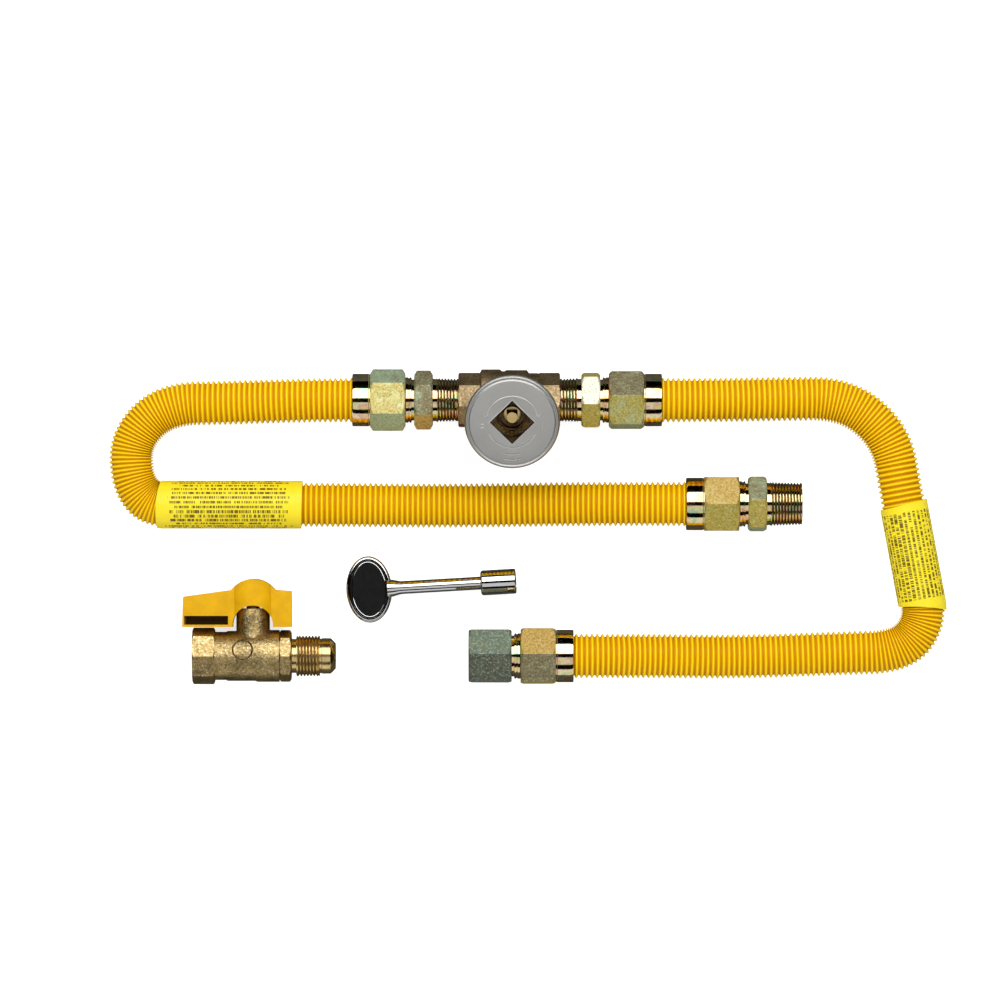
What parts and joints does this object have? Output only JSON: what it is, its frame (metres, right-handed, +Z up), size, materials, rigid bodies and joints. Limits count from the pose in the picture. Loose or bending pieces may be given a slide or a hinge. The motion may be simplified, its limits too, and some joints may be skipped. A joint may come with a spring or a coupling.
{
  "type": "gas key valve with connectors",
  "caption": "Key-operated gas valve with a round floor flange, piped between two coated corrugated connectors, with a loose ball valve and a loose valve key.",
  "frame": {"origin": "centre of the set's footprint on the plane it lies on, measured without the two connectors and their free ends", "axes": "+X along the key valve's pipe, towards its outlet; +Z up; +Y from the loose ball valve towards the key valve"},
  "size_m": [0.4938, 0.186, 0.079],
  "materials": {
    "black_enamel": "glossy black enamel",
    "blasted_brass": "blasted forged brass, pale gold",
    "bright_brass": "bright turned brass",
    "bright_chrome": "bright chrome",
    "forged_brass": "blasted forged brass, brownish tan",
    "hose_coating": "smooth yellow polymer coating",
    "label_film": "printed yellow film",
    "machined_brass": "turned brass",
    "plated_brass": "chrome plated and polished",
    "ptfe": "white PTFE",
    "satin_chrome": "satin chrome with a bright rim",
    "seal_rubber": "black rubber",
    "stainless_ring": "turned stainless steel",
    "yellow_enamel": "glossy yellow paint",
    "yellow_zinc_steel": "yellow chromated zinc plating",
    "zinc_steel": "bright zinc plating"
  },
  "bodies": {
    "valve_line": {"key_valve_body": "forged_brass", "key_valve_end_cap": "forged_brass", "key_valve_gland_nut": "machined_brass", "key_valve_packing": "ptfe", "key_valve_seats": "ptfe", "key_valve_stop_pin": "machined_brass", "key_valve_thrust_washer": "ptfe", "left_free_adapter": "yellow_zinc_steel", "left_free_flare_ring": "stainless_ring", "left_free_nut": "yellow_zinc_steel", "left_hose": "hose_coating", "left_label": "label_film", "left_valve_adapter": "yellow_zinc_steel", "left_valve_flare_ring": "stainless_ring", "left_valve_nut": "yellow_zinc_steel", "right_free_adapter": "yellow_zinc_steel", "right_free_flare_ring": "stainless_ring", "right_free_nut": "yellow_zinc_steel", "right_hose": "hose_coating", "right_label": "label_film", "right_valve_adapter": "yellow_zinc_steel", "right_valve_flare_ring": "stainless_ring", "right_valve_nut": "yellow_zinc_steel"},
    "flange": {"floor_flange": "satin_chrome"},
    "key_stem": {"key_valve_stem": "machined_brass", "key_valve_ball": "plated_brass"},
    "ball_valve": {"ball_valve_body": "blasted_brass", "ball_valve_flare_end": "bright_brass", "ball_valve_seats": "ptfe", "ball_valve_thrust_washer": "ptfe", "ball_valve_o_rings": "seal_rubber"},
    "ball_valve_lever": {"ball_valve_handle": "yellow_enamel", "ball_valve_handle_screw": "zinc_steel", "ball_valve_spindle": "machined_brass", "ball_valve_ball": "plated_brass"},
    "valve_key": {"key_blank": "bright_chrome", "key_socket": "bright_chrome", "key_badge_front": "black_enamel", "key_badge_back": "black_enamel"}
  },
  "joints": [
    {"name": "key_stem_turn", "type": "hinge", "parent": "valve_line", "child": "key_stem", "pos_m": [0.053, 0.0747, 0.01833], "axis": [0, -0.2453, 0.9694], "range_deg": [0, 90]},
    {"name": "flange_pull", "type": "slide", "parent": "valve_line", "child": "flange", "axis": [0, -0.2453, 0.9694], "range_m": [0, 0.03]},
    {"name": "ball_valve_lift", "type": "slide", "parent": "valve_line", "child": "ball_valve", "axis": [0, 0, 1], "range_m": [0, 0.1]},
    {"name": "lever_turn", "type": "hinge", "parent": "ball_valve", "child": "ball_valve_lever", "pos_m": [-0.0998, -0.0763, 0.0167], "axis": [0, 1, 0], "range_deg": [0, 90]},
    {"name": "key_lift", "type": "slide", "parent": "valve_line", "child": "valve_key", "axis": [0, 0, 1], "range_m": [0, 0.1]}
  ]
}
